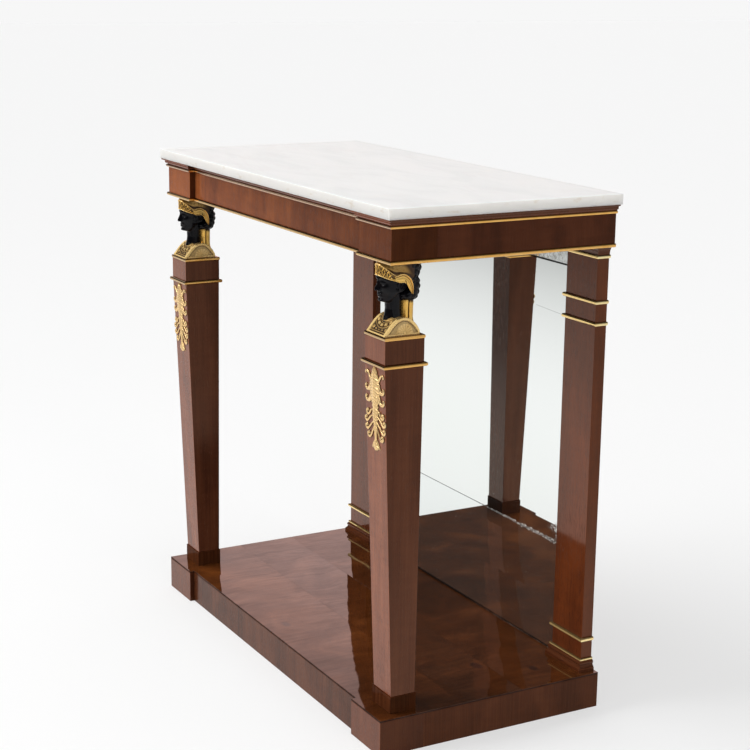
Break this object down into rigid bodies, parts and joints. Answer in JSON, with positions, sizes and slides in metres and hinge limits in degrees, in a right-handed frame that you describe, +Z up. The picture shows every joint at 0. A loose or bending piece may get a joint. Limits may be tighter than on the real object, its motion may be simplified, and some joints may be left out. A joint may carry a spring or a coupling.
{
  "type": "pier table",
  "caption": "Mahogany pier table with a white marble slab, gilt strips, tapered term legs topped by busts, flat rear pilasters, a mirror back and a box plinth.",
  "frame": {"origin": "bottom centre of the bounding box, on the floor", "axes": "+X to the right seen from the front, +Y towards the wall, +Z up"},
  "size_m": [0.89, 0.428, 0.88],
  "materials": {
    "marble": "honed white marble with faint grey veins",
    "mahogany": "french polished red-brown veneer",
    "secondary_wood": "unfinished pine, darkened with age",
    "gilt": "burnished gilt",
    "matt_gilt": "matt gilt, stippled",
    "black_patina": "black patina, half gloss",
    "iron": "plain",
    "looking_glass": "silvered glass, aged at the edges"
  },
  "bodies": {
    "root": {"back_panel": "secondary_wood", "cornice_moulding": "mahogany", "frieze_back_rail": "secondary_wood", "frieze_centre_bearer": "secondary_wood", "frieze_front_rail": "mahogany", "frieze_gilt_bead": "gilt", "frieze_gilt_fillet": "gilt", "frieze_glue_blocks": "secondary_wood", "leaf_mounts": "gilt", "left_bust_hair": "black_patina", "left_bust_head": "black_patina", "left_bust_headdress": "gilt", "left_bust_rod": "iron", "left_bust_shoulders": "matt_gilt", "left_frieze_corner_block": "mahogany", "left_frieze_side_rail": "mahogany", "left_leg_cap_band": "gilt", "left_leg_cap_block": "mahogany", "left_leg_foot_block": "mahogany", "left_leg_neck_band": "gilt", "left_leg_shaft": "mahogany", "left_pilaster": "mahogany", "left_pilaster_base_bands": "gilt", "left_pilaster_base_moulding": "mahogany", "left_pilaster_cap": "mahogany", "left_pilaster_cap_bands": "gilt", "left_plinth_corner_block": "mahogany", "left_plinth_side_rail": "mahogany", "mirror_lower_plate": "looking_glass", "mirror_main_plate": "looking_glass", "mirror_packing_strips": "secondary_wood", "mirror_top_plate": "looking_glass", "plinth_back_rail": "secondary_wood", "plinth_cross_rail": "secondary_wood", "plinth_front_rail": "mahogany", "plinth_glue_blocks": "secondary_wood", "plinth_top_board": "secondary_wood", "plinth_top_veneer": "mahogany", "right_bust_hair": "black_patina", "right_bust_head": "black_patina", "right_bust_headdress": "gilt", "right_bust_rod": "iron", "right_bust_shoulders": "matt_gilt", "right_frieze_corner_block": "mahogany", "right_frieze_side_rail": "mahogany", "right_leg_cap_band": "gilt", "right_leg_cap_block": "mahogany", "right_leg_foot_block": "mahogany", "right_leg_neck_band": "gilt", "right_leg_shaft": "mahogany", "right_pilaster": "mahogany", "right_pilaster_base_bands": "gilt", "right_pilaster_base_moulding": "mahogany", "right_pilaster_cap": "mahogany", "right_pilaster_cap_bands": "gilt", "right_plinth_corner_block": "mahogany", "right_plinth_side_rail": "mahogany"},
    "top": {"marble_top": "marble"}
  },
  "joints": [
    {"name": "top_lift", "type": "slide", "parent": "root", "child": "top", "axis": [0, 0, 1], "range_m": [0, 0.1]}
  ]
}
